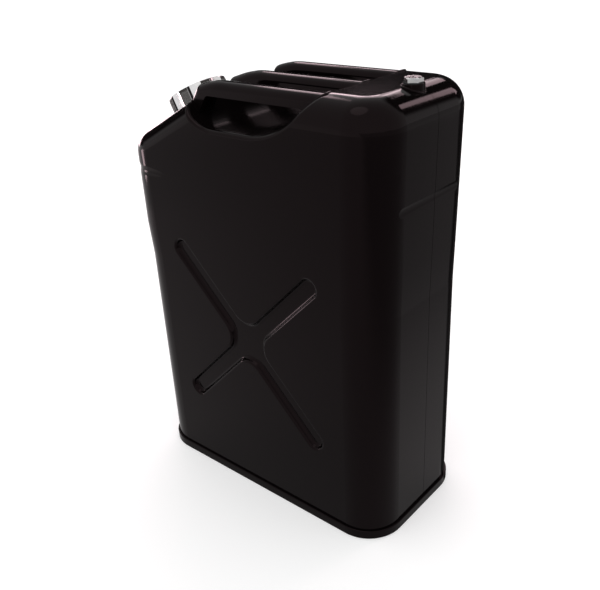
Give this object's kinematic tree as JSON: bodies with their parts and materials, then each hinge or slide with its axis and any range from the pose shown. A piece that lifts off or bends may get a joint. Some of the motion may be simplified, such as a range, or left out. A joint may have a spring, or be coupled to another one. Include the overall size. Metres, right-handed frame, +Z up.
{
  "type": "gas can",
  "caption": "Upright steel fuel can with pressed X panels, carrying handles over a dished trough, a screw cap on a sloping shoulder and a screwed vent plug.",
  "frame": {"origin": "middle of the underside, at the height of the rim that the can stands on", "axes": "+Z up, +X towards the hump with the vent plug, -X towards the shoulder with the filler cap, +Y towards the far broad side"},
  "size_m": [0.3476, 0.1728, 0.4794],
  "materials": {
    "black_paint": "gloss stoved enamel, near black, slightly warm",
    "bright_plate": "bright plated steel, polished on the flutes, knurled on the lands",
    "zinc_steel": "zinc plated",
    "seal_rubber": "matt fuel-proof rubber"
  },
  "bodies": {
    "root": {"near_shell": "black_paint", "far_shell": "black_paint", "base_pan": "black_paint", "near_handle": "black_paint", "middle_handle": "black_paint", "far_handle": "black_paint", "filler_neck": "black_paint", "neck_collar": "black_paint", "vent_boss": "black_paint"},
    "cap_seal": {"cap_disc": "zinc_steel", "cap_gasket": "seal_rubber", "cap_rivet": "bright_plate"},
    "cap": {"cap_shell": "bright_plate"},
    "vent_seal": {"vent_washer": "seal_rubber"},
    "vent": {"vent_plug": "bright_plate"}
  },
  "joints": [
    {"name": "cap_lift", "type": "slide", "parent": "root", "child": "cap_seal", "axis": [-0.4617, 0, 0.887], "range_m": [0, 0.03]},
    {"name": "cap_turn", "type": "hinge", "parent": "cap_seal", "child": "cap", "pos_m": [-0.122, 0, 0.42111], "axis": [-0.4617, 0, 0.887], "range_deg": [0, 1800]},
    {"name": "vent_lift", "type": "slide", "parent": "root", "child": "vent_seal", "axis": [0, 0, 1], "range_m": [0, 0.014]},
    {"name": "vent_turn", "type": "hinge", "parent": "vent_seal", "child": "vent", "pos_m": [0.1515, 0, 0.4715], "axis": [0, 0, 1], "range_deg": [0, 2520]}
  ],
  "couplings": [
    {"joint": "cap_lift", "follows": "cap_turn", "m_per_rad": 0.00095},
    {"joint": "vent_lift", "follows": "vent_turn", "m_per_rad": 0.000318}
  ]
}
